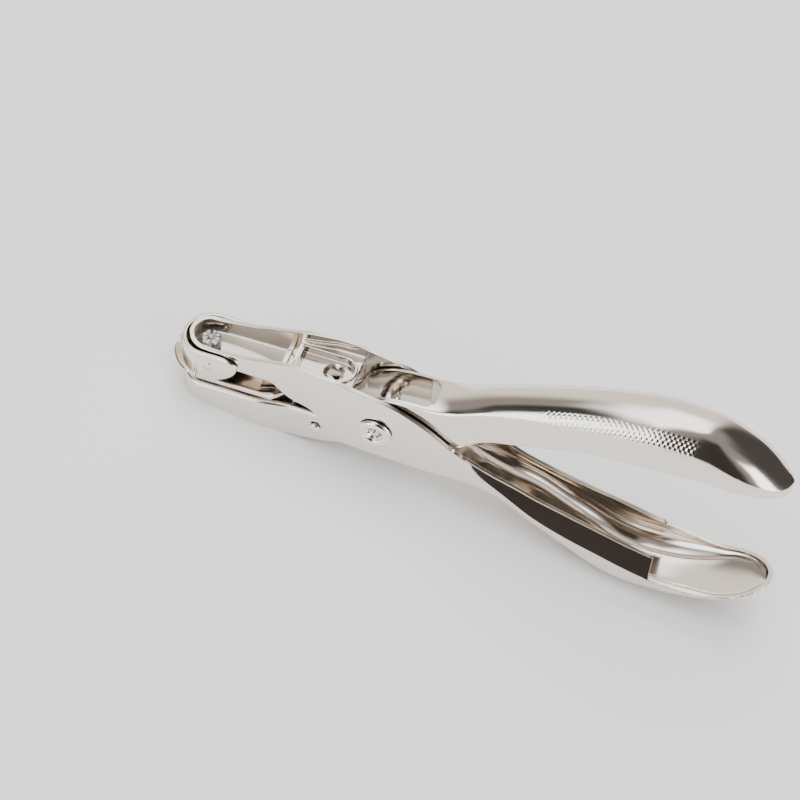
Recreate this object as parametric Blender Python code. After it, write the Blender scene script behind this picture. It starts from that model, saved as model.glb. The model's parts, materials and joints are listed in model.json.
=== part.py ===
"""Single-hole plier punch: two crossed stamped levers on a tubular rivet.

The tool frame has its origin on the pivot axis, +X along the handles, +Z up
and +Y away from the near side; the paper slot is horizontal in it. The whole
tool is then tipped a few degrees nose-down under the empty "stance", so that
the die jaw's foot and the belly of the lower handle both touch z = 0.
"""

import math

import bmesh
import bpy
import numpy as np

MM = 0.001
SHEET = 1.0                 # thickness of both levers' sheet
GAP = 0.3                   # clearance kept between touching pieces
ROUND_SIDES = 40            # facets of a turned piece
STEP = 0.05                 # length over which a lofted section steps abruptly
SLIVER = 0.05               # keeps two cutters' sides from lying in one plane
OVER = 3.0                  # how far a cutter runs past what it cuts
ARCH_POINTS = 9             # points from the upper handle's wall to its crown
ARCH_REACH = 0.99           # the two halves of the arch stay just apart at the middle
FAR = 30.0                  # beyond the tool in height

# Paper slot, measured up from the pivot axis.
GUIDE_UNDERSIDE = 0.0
GUIDE_THICK = 1.0
SLOT_HEIGHT = 1.8
DIE_FACE = GUIDE_UNDERSIDE - SLOT_HEIGHT
FLOOR_UNDERSIDE = 4.2       # floor of the upper jaw's channel
FLOOR_TOP = FLOOR_UNDERSIDE + SHEET

HOLE_X = -40.1              # axis of the punched hole

# Punch lever: upper jaw and lower handle, a channel open upward.
PUNCH_NOSE_CENTRE = -39.9
PUNCH_NOSE_RADIUS = 4.8
PUNCH_TAIL_CENTRE = 78.0
PUNCH_TAIL_LENGTH = 11.5
PUNCH_HALF_WIDTH = [(-39.9, 4.8), (-35.0, 5.05), (-22.0, 5.3), (-16.0, 5.8), (-12.5, 6.2),
                    (-9.0, 6.25), (18.0, 6.25), (30.0, 6.6), (36.0, 7.4), (48.0, 8.1),
                    (60.0, 8.4), (66.0, 8.4), (71.0, 8.1), (78.0, 7.4)]
PUNCH_EDGE = [(-44.7, 9.3), (-39.5, 8.8), (-31.5, 9.6), (-25.8, 10.9), (-17.5, 12.5),
              (-11.5, 12.5), (-5.8, 11.4), (2.8, 9.5), (9.8, 6.3), (17.5, 0.8), (24.4, -4.7),
              (38.7, -12.3), (52.9, -16.6), (65.8, -19.8), (75.9, -20.6), (84.3, -18.2),
              (89.5, -16.4)]
PUNCH_UNDERSIDE = [(-44.7, 4.2), (-24.5, 4.2), (-20.0, 1.6), (-14.4, 0.2), (-12.6, -2.2),
                   (-6.4, -7.4), (4.0, -8.0), (12.0, -8.3), (18.0, -9.4), (29.5, -13.0),
                   (44.0, -20.4), (54.0, -25.4), (60.0, -26.6), (67.0, -26.4), (76.0, -24.4),
                   (84.5, -21.0), (89.5, -19.0)]
PUNCH_BEND = [(-44.7, 1.2), (-25.0, 1.2), (-22.0, 0.25), (12.0, 0.25), (20.0, 1.5), (30.0, 3.0),
              (45.0, 5.0), (60.0, 6.2), (78.0, 6.5), (89.5, 6.5)]
FLANGE_RISE = [(17.0, 0.0), (21.0, 1.0), (28.0, 2.0), (36.0, 3.2), (44.0, 3.8), (64.0, 4.1)]
FLANGE_END = 64.0
FLANGE_LEAN = 0.8           # inward travel of the flange for each mm that it rises
INNER_BEND = 1.0            # bend where the jaw's floor meets its walls
EDGE_STEP = 0.6             # height of the straight wall above the shoulder elsewhere
LEAST_DEPTH = 0.4           # the channel's shoulder stays at least this far above its bottom
BEND_SHRINK = 0.7           # loss of the inner bend's reach for each mm of inset
BEND_ACROSS = 0.96          # the bend's furthest reach, as shares of half width and depth
BEND_UP = 0.9
LEAST_HALF = 0.02           # no section closes to nothing
JAW_FLOOR_END = -6.5
FLOOR_RISE = [(-24.0, 0.0), (-22.8, 0.5), (-20.9, 3.6), (-19.8, 4.1)]    # step up in the floor
TROUGH_START = 16.0

# D-shaped seat sunk into the raised part of the jaw's floor, with a rim and a round hole.
SEAT = (-19.6, -7.4)
SEAT_HALF = 3.2
SEAT_RIM = 0.6
SEAT_RIM_TOP = 9.8
SEAT_FLOOR = 7.9
SEAT_SHEET = 0.8
SEAT_HOLE_X = -11.8
SEAT_HOLE_RADIUS = 1.5
WALLS_DROP_FROM = -24.9     # behind here the walls run down past the jaw's floor

# Die lever: upper handle and lower jaw, a channel open downward.
DIE_NOSE_CENTRE = -40.1
DIE_NOSE_RADIUS = 5.9
DIE_TAIL_CENTRE = 75.0
DIE_TAIL_LENGTH = 13.3
DIE_EAR_HALF = 4.9          # outer half width where the ears sit between the punch lever's
DIE_HALF_WIDTH = [(-40.1, 5.9), (-28.0, 5.9), (-20.0, DIE_EAR_HALF), (24.0, DIE_EAR_HALF),
                  (30.0, 5.25), (36.5, 5.8), (44.8, 6.4), (53.0, 6.9), (61.0, 7.2), (75.0, 7.2)]
DIE_CROWN = [(-46.0, DIE_FACE), (-12.5, DIE_FACE), (-10.0, -1.4), (-7.6, 0.6), (-6.4, 3.0),
             (-5.0, 6.2), (-3.2, 7.9), (1.3, 10.0), (5.8, 10.7), (9.0, 11.0), (14.0, 12.0),
             (23.9, 16.9), (36.5, 22.2), (44.8, 25.1), (53.0, 27.2), (61.3, 28.4),
             (69.8, 27.9), (79.0, 24.3), (84.2, 20.9), (88.3, 17.0)]
DIE_CROWN_RISE = [(-46.0, 0.6), (-12.5, 0.6), (-6.0, 0.3), (6.0, 0.3), (9.0, 0.6), (14.0, 1.2),
                  (23.9, 2.2), (36.5, 3.8), (44.8, 4.9), (53.0, 5.2), (61.3, 5.4),
                  (69.8, 5.6), (79.0, 4.3), (84.2, 3.0), (88.3, 0.8)]
DIE_NOSE_FOOT = -7.2        # lower edge of the die jaw at its nose
DIE_FOOT_END = -22.0        # the jaw's edge stands on the floor from the nose to here
DIE_EDGE = [(-12.0, -10.4), (-4.0, -7.6), (1.0, -7.0), (8.0, -5.4), (17.4, 0.5), (23.0, 5.5),
            (30.6, 8.5), (40.0, 12.4), (48.6, 15.2), (61.5, 16.5), (70.0, 17.2), (79.0, 16.6),
            (84.0, 15.9), (88.3, 14.6)]
DIE_WEB_END = -19.9         # the jaw's web stops here, in front of the guide plate's lugs
DIE_WEB_START = 9.2         # the handle's web starts here at the walls
DIE_WEB_NOTCH = 2.8         # how much further back its hollowed edge is at the middle
WEB_CROWN = 0.4             # crown under the jaw's web and over the open pivot
CROWN_LOSS = 0.2            # the back's inner crown is lower than its outer one by this

# Guide plate over the slot: a flat plate whose edge is turned up round the nose as one
# closed cup with a flared lip, and whose rear lugs turn down between the die lever's walls.
GUIDE_SHEET = 0.8
GUIDE_HALF = 6.15
GUIDE_NOSE_CENTRE = HOLE_X
CUP_BLANK_TOP = 9.0         # the plate is cut down from a blank of this height
GUIDE_WIDE_END = -24.0
GUIDE_TONGUE = (-21.5, -10.2)
GUIDE_TONGUE_HALF = DIE_EAR_HALF - SHEET - GAP
EAR_END = -31.0
EAR_PROFILE = [(-60.0, 8.2), (-45.5, 8.2), (-42.5, 8.4), (-35.5, 8.5), (-32.9, 7.9),
               (-31.7, 6.5), (-32.6, 4.3), (-34.3, 2.6), (-36.3, 1.3), (-37.4, 1.0)]
LIP_SECTION = [(5.8, 0.15), (6.4, 0.15), (8.05, 3.2), (7.52, 3.47), (5.8, 0.95)]
LIP_TURN = math.radians(80)     # the flared lip reaches this far to either side
LIP_TAPER = math.radians(12)
LIP_LEAST = 0.15
LIP_MARK = 0.55             # height share of the lip at the centre mark in its middle
LIP_MARK_TURN = math.radians(6)
LIP_NEXT_TURN = math.radians(14.4)      # next section of the lip beyond its mark
BEAD = (-38.4, 5.4)         # embossed bead on each ear
BEAD_RADIUS = 1.9
BEAD_RISE = 0.6
LUG_PROFILE = [(-19.6, 0.5), (-10.6, 0.5), (-10.6, -2.0), (-11.4, -8.4), (-13.0, -9.4),
               (-18.0, -9.4), (-19.6, -7.8)]
LUG_RIVET = (-14.0, -6.4)
LUG_RIVET_RADIUS = 0.6
LUG_RIVET_HEAD = 1.3

# Punch pin and die bush.
PIN_RADIUS = 3.0
PIN_TIP = 0.2
PIN_NECK = 1.8
PIN_HEAD = 2.2
PIN_HEAD_TOP = 7.6
PIN_HOLLOW = 0.7            # depth of the hollow grinding in the pin's tip
PIN_CHAMFER = 0.3
PIN_LAND = 0.15             # width of the flat on the pin's cutting edge
BUSH_RADIUS = 4.2
BUSH_BORE = 3.2
BUSH_HEIGHT = 2.2
BUSH_RELIEF = (0.3, 0.8)    # the bore opens by this much over its last stretch
GUIDE_BORE = 3.4
DRILL = 4.0                 # length of a drill through one sheet

# Pivot rivet.
RIVET_FLANGE = 3.9
RIVET_ROLL = 0.75
POST_RADIUS = 1.95
BARREL_RADIUS = 2.1
BARREL_BORE = 1.6
TENON_RADIUS = 1.4
PIVOT_BORE = BARREL_RADIUS + 0.15
PIVOT_HALF = 6.25           # outer half width of the punch lever at the pivot
PIVOT_REACH = PIVOT_HALF + 1.75

# Return leaf, fixed on the guide plate's rear by a small tubular rivet.
LEAF_THICK = 0.5
LEAF_HALF = 2.6
LEAF_PATH = [(-10.8, 1.55), (-17.5, 1.55), (-19.5, 1.75), (-22.5, 2.6), (-26.5, 3.5),
             (-27.8, 3.62)]
LEAF_RIVET_X = -13.2
LEAF_RIVET_RADIUS = 1.1
LEAF_RIVET_HEAD = 1.9
LEAF_RIVET_BORE = 0.65

NICKEL = ((0.80, 0.78, 0.74), 0.12)
PIN_STEEL = ((0.62, 0.62, 0.63), 0.2)
SPRING_STEEL = ((0.55, 0.55, 0.57), 0.3)
RIVET_STEEL = ((0.82, 0.81, 0.79), 0.15)


# ---------------------------------------------------------------- helpers

def smooth(points, x):
    """Value at x of a monotone cubic through points, held level past both ends."""
    xs = np.array([p[0] for p in points])
    ys = np.array([p[1] for p in points])
    if x <= xs[0]:
        return float(ys[0])
    if x >= xs[-1]:
        return float(ys[-1])
    h = np.diff(xs)
    slope = np.diff(ys) / h
    bend = np.zeros(len(xs))
    bend[0] = slope[0]
    bend[-1] = slope[-1]
    for i in range(1, len(xs) - 1):
        if slope[i - 1] * slope[i] > 0:
            bend[i] = 2 * slope[i - 1] * slope[i] / (slope[i - 1] + slope[i])
    i = int(np.searchsorted(xs, x)) - 1
    t = (x - xs[i]) / h[i]
    return float(ys[i] * (1 + 2 * t) * (1 - t) ** 2 + bend[i] * h[i] * t * (1 - t) ** 2
                 + ys[i + 1] * t * t * (3 - 2 * t) + bend[i + 1] * h[i] * t * t * (t - 1))


def material(name, look):
    colour, roughness = look
    made = bpy.data.materials.new(name)
    made.use_nodes = True
    shader = made.node_tree.nodes["Principled BSDF"]
    shader.inputs["Base Color"].default_value = (*colour, 1.0)
    shader.inputs["Roughness"].default_value = roughness
    shader.inputs["Metallic"].default_value = 1.0
    return made


def add_object(name, bm, collection, parent, finish=None):
    """Scales a mesh drawn in millimetres to metres and places it under its parent."""
    bmesh.ops.recalc_face_normals(bm, faces=bm.faces)
    if bm.calc_volume(signed=True) < 0:
        bmesh.ops.reverse_faces(bm, faces=bm.faces)
    bmesh.ops.scale(bm, vec=(MM, MM, MM), verts=bm.verts)
    mesh = bpy.data.meshes.new(name)
    bm.to_mesh(mesh)
    bm.free()
    made = bpy.data.objects.new(name, mesh)
    collection.objects.link(made)
    made.parent = parent
    if finish:
        mesh.materials.append(finish)
        mesh.shade_smooth()
        mesh.set_sharp_from_angle(angle=math.radians(35))
    return made


def loft_mesh(sections):
    """Closed solid through sections (x, [(y, z), ...]) that have equally many points."""
    bm = bmesh.new()
    rows = [[bm.verts.new((x, y, z)) for y, z in ring] for x, ring in sections]
    count = len(rows[0])
    for a, b in zip(rows, rows[1:]):
        for i in range(count):
            j = (i + 1) % count
            bm.faces.new((a[i], a[j], b[j], b[i]))
    bm.faces.new(rows[0])
    bm.faces.new(list(reversed(rows[-1])))
    return bm


def prism_mesh(outline, axis, low, high):
    """Solid of a flat outline, drawn across the given axis and extruded along it."""
    bm = bmesh.new()
    place = {"y": lambda p: (p[0], low, p[1]), "z": lambda p: (p[0], p[1], low)}[axis]
    travel = {"y": (0, high - low, 0), "z": (0, 0, high - low)}[axis]
    face = bm.faces.new([bm.verts.new(place(p)) for p in outline])
    grown = bmesh.ops.extrude_face_region(bm, geom=[face])
    moved = [v for v in grown["geom"] if isinstance(v, bmesh.types.BMVert)]
    bmesh.ops.translate(bm, vec=travel, verts=moved)
    return bm


def turned_mesh(profile, sides=ROUND_SIDES):
    """Solid turned about Z from (radius, z) points that start and end on the axis or close."""
    bm = bmesh.new()
    rows = []
    for radius, z in profile:
        if radius == 0:
            rows.append([bm.verts.new((0, 0, z))])
            continue
        turn = [2 * math.pi * (i + 0.5) / sides for i in range(sides)]
        rows.append([bm.verts.new((radius * math.cos(a), radius * math.sin(a), z)) for a in turn])
    pairs = list(zip(rows, rows[1:]))
    if profile[0][0] > 0:
        pairs.append((rows[-1], rows[0]))
    for a, b in pairs:
        for i in range(sides):
            j = (i + 1) % sides
            corners = [a[i % len(a)], a[j % len(a)], b[j % len(b)], b[i % len(b)]]
            bm.faces.new(list(dict.fromkeys(corners)))
    return bm


def drill_mesh(radius, x, z, sides=ROUND_SIDES):
    """An upright drill through one sheet whose face is near z."""
    half = DRILL / 2
    drill = turned_mesh([(0, -half), (radius, -half), (radius, half), (0, half)], sides)
    return placed(drill, x=x, z=z)


def placed(bm, x=0.0, y=0.0, z=0.0, across=False):
    """Moves a turned mesh into place, first laying its axis along Y if it lies across."""
    if across:
        turn = [(v, v.co.copy()) for v in bm.verts]
        for v, co in turn:
            v.co = (co.x, co.z, -co.y)
    bmesh.ops.translate(bm, vec=(x, y, z), verts=bm.verts)
    return bm


class Workshop:
    """Holds the collections, and cuts or joins one object with another."""

    def __init__(self):
        scene = bpy.context.scene
        self.parts = bpy.data.collections.new("hole_punch")
        self.tools = bpy.data.collections.new("cutters")
        scene.collection.children.link(self.parts)
        scene.collection.children.link(self.tools)
        self.stance = bpy.data.objects.new("stance", None)
        self.pivot = bpy.data.objects.new("pivot_axis", None)
        for empty in (self.stance, self.pivot):
            self.parts.objects.link(empty)
        self.pivot.parent = self.stance

    def part(self, name, bm, finish, moving=False):
        return add_object(name, bm, self.parts, self.pivot if moving else self.stance, finish)

    def shape(self, target, bm, operation):
        cutter = add_object(f"{target.name}_tool", bm, self.tools, target.parent)
        cutter.hide_render = True
        cutter.display_type = "WIRE"
        step = target.modifiers.new(operation.lower(), "BOOLEAN")
        step.operation = operation
        step.object = cutter

    def cut(self, target, bm):
        self.shape(target, bm, "DIFFERENCE")

    def join(self, target, bm):
        self.shape(target, bm, "UNION")


# ---------------------------------------------------------------- punch lever

def punch_half_width(x, inset):
    if x < PUNCH_NOSE_CENTRE:
        return math.sqrt(max((PUNCH_NOSE_RADIUS - inset) ** 2 - (x - PUNCH_NOSE_CENTRE) ** 2, 0))
    if x > PUNCH_TAIL_CENTRE:
        part = (x - PUNCH_TAIL_CENTRE) / (PUNCH_TAIL_LENGTH - inset)
        return (PUNCH_HALF_WIDTH[-1][1] - inset) * math.sqrt(max(1 - part * part, 0))
    return smooth(PUNCH_HALF_WIDTH, x) - inset


def end_stations(centre, length, steps=9, start=0.12):
    """Stations that crowd towards a rounded end, from the end's tip back to its centre."""
    turns = np.linspace(start, math.pi / 2, steps)
    return [centre + length * math.cos(a) for a in turns]


def punch_half_section(x, inset, flanged, bottom=None):
    """Half of the channel's outline, from the free edge down to the bottom's middle."""
    width = punch_half_width(x, inset)
    edge = smooth(PUNCH_EDGE, x)
    bend = smooth(PUNCH_BEND, x)
    if bottom is None:
        bottom = smooth(PUNCH_UNDERSIDE, x) + inset
    else:
        bend = INNER_BEND
    rise = smooth(FLANGE_RISE, x) if flanged else 0.0
    shoulder = edge if rise > EDGE_STEP else edge - EDGE_STEP + rise
    rise = max(rise, EDGE_STEP)
    lean = FLANGE_LEAN * (rise - EDGE_STEP) if flanged else 0.0
    bottom = min(bottom, shoulder - LEAST_DEPTH)
    bend = max(bend - inset * BEND_SHRINK, SLIVER)
    across = min(bend, width * BEND_ACROSS)
    up = min(bend, (shoulder - bottom) * BEND_UP)
    half = [(max(width - lean, LEAST_HALF), shoulder + rise), (width, shoulder)]
    for i in range(7):
        a = math.pi / 2 * i / 6
        half.append((width - across * (1 - math.cos(a)), bottom + up * (1 - math.sin(a))))
    return half


def both_sides(half):
    return [(-y, z) for y, z in half] + [(y, z) for y, z in reversed(half)]


def punch_stations():
    nose = [2 * PUNCH_NOSE_CENTRE - x for x in end_stations(PUNCH_NOSE_CENTRE, PUNCH_NOSE_RADIUS)]
    body = [-35.0, -31.5, -28.0, -25.8, -24.3, -23.1, -22.0, -21.0, -20.0, -17.5, -14.4, -13.4,
            -12.6, -10.0, -8.0, -6.4, -3.0, 0.5, 4.0, 7.0, 9.8, 13.5, 17.5, 21.0, 24.4, 28.0,
            31.5, 35.0, 38.7, 42.0, 45.5, 49.0, 52.5, 56.0, 60.0, FLANGE_END]
    tail = [68.0, 71.5, 75.0] + end_stations(PUNCH_TAIL_CENTRE, PUNCH_TAIL_LENGTH)[::-1]
    return nose + body, tail


def punch_outer():
    front, tail = punch_stations()
    sections = [(x, both_sides(punch_half_section(x, 0.0, True))) for x in front]
    step = [FLANGE_END + STEP] + tail
    sections += [(x, both_sides(punch_half_section(x, 0.0, False))) for x in step]
    return loft_mesh(sections)


def floor_top(x):
    return FLOOR_TOP + smooth(FLOOR_RISE, x)


def punch_cavity():
    """The hollow of the channel, out of its open top: jaw, open pivot, trough and spoon."""
    front, tail = punch_stations()
    nose = [2 * PUNCH_NOSE_CENTRE - x
            for x in end_stations(PUNCH_NOSE_CENTRE, PUNCH_NOSE_RADIUS - SHEET)]
    front = [x for x in front if x > PUNCH_NOSE_CENTRE]
    stations = [(x, True, floor_top(x)) for x in nose + front if x < JAW_FLOOR_END]
    stations += [(JAW_FLOOR_END, True, floor_top(JAW_FLOOR_END)),
                 (JAW_FLOOR_END + STEP, True, -FAR)]
    stations += [(x, True, -FAR) for x in front if JAW_FLOOR_END < x < TROUGH_START]
    stations += [(TROUGH_START, True, -FAR), (TROUGH_START + STEP, True, None)]
    stations += [(x, True, None) for x in front if TROUGH_START < x < FLANGE_END]
    spoon = tail[:3] + end_stations(PUNCH_TAIL_CENTRE, PUNCH_TAIL_LENGTH - SHEET)[::-1]
    stations += [(FLANGE_END - STEP, True, None)]
    stations += [(x, False, None) for x in [FLANGE_END] + spoon]
    sections = []
    for x, flanged, bottom in stations:
        half = punch_half_section(x, SHEET, flanged, bottom)
        sections.append((x, both_sides([(half[0][0], FAR)] + half)))
    return loft_mesh(sections)


def below_jaw_floor():
    """The space under the jaw's floor, between the walls that run down to the pivot."""
    inset = SHEET + SLIVER
    front = punch_stations()[0]
    behind = [x for x in front if WALLS_DROP_FROM + SHEET / 2 < x < JAW_FLOOR_END]
    stations = [WALLS_DROP_FROM] + behind + [JAW_FLOOR_END + SHEET / 2]
    sections = []
    for x in stations:
        width = punch_half_width(x, inset)
        top = floor_top(x) - SHEET
        sections.append((x, [(-width, top), (-width, -FAR), (width, -FAR), (width, top)]))
    return loft_mesh(sections)


def make_punch_lever(shop, finish):
    lever = shop.part("punch_lever", punch_outer(), finish, moving=True)
    shop.cut(lever, punch_cavity())
    shop.cut(lever, below_jaw_floor())
    seat = prism_mesh(seat_outline(SEAT_RIM), "z", SEAT_FLOOR - SEAT_SHEET, SEAT_RIM_TOP)
    shop.join(lever, seat)
    shop.cut(lever, prism_mesh(seat_outline(0.0), "z", SEAT_FLOOR, SEAT_FLOOR + OVER))
    shop.cut(lever, drill_mesh(SEAT_HOLE_RADIUS, SEAT_HOLE_X, SEAT_FLOOR))
    shop.cut(lever, drill_mesh(PIN_NECK + GAP, HOLE_X, FLOOR_UNDERSIDE))
    shop.cut(lever, pivot_drill(PIVOT_REACH))
    return lever


def seat_outline(grow):
    """A D: square towards the nose, round towards the pivot."""
    front, rear = SEAT
    half = SEAT_HALF + grow
    arc = [(rear - SEAT_HALF + half * math.sin(a), half * math.cos(a))
           for a in np.linspace(0, math.pi, 13)]
    return [(front - grow, half)] + arc + [(front - grow, -half)]


def pivot_drill(reach):
    drill = turned_mesh([(0, -reach), (PIVOT_BORE, -reach), (PIVOT_BORE, reach), (0, reach)])
    return placed(drill, across=True)


# ---------------------------------------------------------------- die lever

def die_half_width(x, inset=0.0):
    if x < DIE_NOSE_CENTRE:
        return math.sqrt(max((DIE_NOSE_RADIUS - inset) ** 2 - (x - DIE_NOSE_CENTRE) ** 2, 0))
    if x > DIE_TAIL_CENTRE:
        part = (x - DIE_TAIL_CENTRE) / (DIE_TAIL_LENGTH - inset)
        return (DIE_HALF_WIDTH[-1][1] - inset) * math.sqrt(max(1 - part * part, 0))
    return smooth(DIE_HALF_WIDTH, x) - inset


def die_lower_edge(x, slope):
    """The jaw's foot lies along the floor; behind it the edge follows DIE_EDGE."""
    nose = DIE_NOSE_CENTRE - DIE_NOSE_RADIUS
    if x <= DIE_FOOT_END:
        return DIE_NOSE_FOOT - (x - nose) * slope
    foot = DIE_NOSE_FOOT - (DIE_FOOT_END - nose) * slope
    return smooth([(DIE_FOOT_END, foot)] + DIE_EDGE, x)


def die_arch(width, shoulder, rise):
    """Points from the wall over to the middle of the back, on a circle through both."""
    radius = (width * width + rise * rise) / (2 * rise)
    points = []
    for i in range(ARCH_POINTS):
        y = width * (1 - ARCH_REACH * i / (ARCH_POINTS - 1))
        points.append((y, shoulder + rise - radius + math.sqrt(radius * radius - y * y)))
    return points


def die_half_section(x, slope):
    crown = smooth(DIE_CROWN, x)
    rise = smooth(DIE_CROWN_RISE, x)
    low = min(die_lower_edge(x, slope), crown - rise - CROWN_LOSS)
    width = die_half_width(x)
    return [(width, low)] + die_arch(width, crown - rise, rise)


def die_stations():
    nose = [2 * DIE_NOSE_CENTRE - x for x in end_stations(DIE_NOSE_CENTRE, DIE_NOSE_RADIUS)]
    body = [-34.0, -28.0, -24.0, DIE_FOOT_END, -19.0, -16.0, -12.5, -10.0, -8.6, -7.4, -6.4, -5.6,
            -4.6, -3.2, -1.0, 1.3, 3.6, 5.8, 8.0, 10.0, 12.0, 14.5, 17.4, 20.5, 23.9, 27.5, 31.0,
            34.5, 38.0, 41.5, 45.0, 49.0, 53.0, 57.0, 61.0, 65.0, 69.0, 72.0]
    tail = end_stations(DIE_TAIL_CENTRE, DIE_TAIL_LENGTH, steps=10)[::-1]
    return nose, body, tail


def die_cavity():
    """The hollow of the channel, out of its open underside: jaw, open pivot and handle."""
    nose, body, tail = die_stations()
    nose = [2 * DIE_NOSE_CENTRE - x
            for x in end_stations(DIE_NOSE_CENTRE, DIE_NOSE_RADIUS - SHEET)]
    tail = end_stations(DIE_TAIL_CENTRE, DIE_TAIL_LENGTH - SHEET, steps=10)[::-1]
    stations = [(x, DIE_FACE - SHEET) for x in nose + body if x < DIE_WEB_END]
    stations += [(DIE_WEB_END, DIE_FACE - SHEET), (DIE_WEB_END + STEP, FAR)]
    stations += [(x, FAR) for x in body if DIE_WEB_END < x < DIE_WEB_START]
    stations += [(DIE_WEB_START, FAR), (DIE_WEB_START + STEP, None)]
    stations += [(x, None) for x in body + tail if x > DIE_WEB_START + STEP]
    sections = []
    for x, top in stations:
        width = die_half_width(x, SHEET)
        rise = WEB_CROWN if top is not None else smooth(DIE_CROWN_RISE, x) - CROWN_LOSS
        rise = max(rise, CROWN_LOSS)
        if top is None:
            top = smooth(DIE_CROWN, x) - SHEET
        arch = die_arch(width, top - rise, rise)
        sections.append((x, both_sides([(width, -FAR)] + arch)))
    return loft_mesh(sections)


def make_die_lever(shop, finish, slope):
    nose, body, tail = die_stations()
    sections = [(x, both_sides(die_half_section(x, slope))) for x in nose + body + tail]
    lever = shop.part("die_lever", loft_mesh(sections), finish)
    shop.cut(lever, die_cavity())
    shop.cut(lever, prism_mesh(web_notch(), "z", 0.0, FAR))
    shop.cut(lever, drill_mesh(BUSH_RADIUS + GAP, HOLE_X, DIE_FACE))
    shop.cut(lever, pivot_drill(PIVOT_REACH))
    for side in (-1, 1):
        shop.cut(lever, rivet_drill(side))
    return lever


def web_notch():
    """Hollowed front edge of the handle's web."""
    half = die_half_width(DIE_WEB_START, SHEET) - SLIVER
    front = DIE_WEB_START - OVER
    arc = [(DIE_WEB_START + DIE_WEB_NOTCH * math.cos(a), half * math.sin(a))
           for a in np.linspace(-math.pi / 2, math.pi / 2, 13)]
    return [(front, -half)] + arc + [(front, half)]


# ---------------------------------------------------------------- guide plate

def guide_nose(inset):
    """Round nose of the plate's plan, from its far side round to its near side."""
    half = GUIDE_HALF - inset
    return [(GUIDE_NOSE_CENTRE - half * math.sin(a), half * math.cos(a))
            for a in np.linspace(0, math.pi, 22)]


def rivet_drill(side):
    half = DRILL / 2
    radius = LUG_RIVET_RADIUS + GAP
    drill = turned_mesh([(0, -half), (radius, -half), (radius, half), (0, half)], sides=16)
    x, z = LUG_RIVET
    return placed(drill, x=x, y=side * (GUIDE_TONGUE_HALF + SHEET / 2), z=z, across=True)


def bead_mesh(side):
    """A shallow dome, sunk a little into the ear that it stands on."""
    face = GUIDE_HALF - GUIDE_SHEET / 2
    rise = BEAD_RISE + GUIDE_SHEET / 2
    dome = [(BEAD_RADIUS * math.cos(a), side * (face + rise * math.sin(a)))
            for a in np.linspace(0, math.pi / 2, 6)]
    dome[-1] = (0, dome[-1][1])
    x, z = BEAD
    return placed(turned_mesh([(0, side * face)] + dome, sides=24), x=x, z=z, across=True)


def lip_share(turn):
    """How much of the lip stands at a turn from the middle: low at the ends and at the mark."""
    at_end = max((LIP_TURN - turn) / LIP_TAPER, LIP_LEAST)
    at_mark = LIP_MARK + (1 - LIP_MARK) * turn / LIP_MARK_TURN
    return min(at_end, at_mark, 1.0)


def lip_mesh():
    """Lip flared outward around the nose, with a small V that marks the hole's centre line."""
    bm = bmesh.new()
    rows = []
    root, foot, outer, inner, top = LIP_SECTION
    half = [LIP_MARK_TURN] + list(np.linspace(LIP_NEXT_TURN, LIP_TURN, 8))
    for a in [-t for t in reversed(half)] + [0.0] + half:
        share = lip_share(abs(a))
        ring = [root, foot]
        ring += [tuple(s + (e - s) * share for s, e in ((foot[0], outer[0]), (foot[1], outer[1])))]
        ring += [tuple(s + (e - s) * share for s, e in ((top[0], inner[0]), (top[1], inner[1])))]
        ring += [top]
        rows.append([bm.verts.new((HOLE_X - r * math.cos(a), r * math.sin(a), z)) for r, z in ring])
    for a, b in zip(rows, rows[1:]):
        for i in range(len(a)):
            j = (i + 1) % len(a)
            bm.faces.new((a[i], a[j], b[j], b[i]))
    bm.faces.new(rows[0])
    bm.faces.new(list(reversed(rows[-1])))
    return bm


def make_guide_plate(shop, finish):
    top = GUIDE_UNDERSIDE + GUIDE_THICK
    side = [(GUIDE_WIDE_END, GUIDE_HALF)] + [(x, GUIDE_TONGUE_HALF) for x in GUIDE_TONGUE]
    outline = guide_nose(0)[::-1] + side + [(x, -y) for x, y in reversed(side)]
    plate = shop.part("guide_plate", prism_mesh(outline, "z", GUIDE_UNDERSIDE, CUP_BLANK_TOP), finish)
    half = GUIDE_HALF - GUIDE_SHEET
    hollow = guide_nose(GUIDE_SHEET) + [(EAR_END + OVER, -half), (EAR_END + OVER, half)]
    shop.cut(plate, prism_mesh(hollow, "z", top, FAR))
    above = EAR_PROFILE + [(0.0, top), (0.0, FAR), (EAR_PROFILE[0][0], FAR)]
    shop.cut(plate, prism_mesh(above, "y", -FAR, FAR))
    shop.join(plate, lip_mesh())
    outer = GUIDE_TONGUE_HALF - SLIVER
    inner = GUIDE_TONGUE_HALF - GUIDE_SHEET
    for side in (-1, 1):
        low, high = sorted((side * inner, side * outer))
        shop.join(plate, prism_mesh(LUG_PROFILE, "y", low, high))
        shop.cut(plate, rivet_drill(side))
    for side in (-1, 1):
        shop.join(plate, bead_mesh(side))
    shop.cut(plate, drill_mesh(GUIDE_BORE, HOLE_X, GUIDE_UNDERSIDE))
    shop.cut(plate, drill_mesh(LEAF_RIVET_RADIUS + GAP, LEAF_RIVET_X, GUIDE_UNDERSIDE, sides=24))
    return plate


# ---------------------------------------------------------------- small pieces

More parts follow.
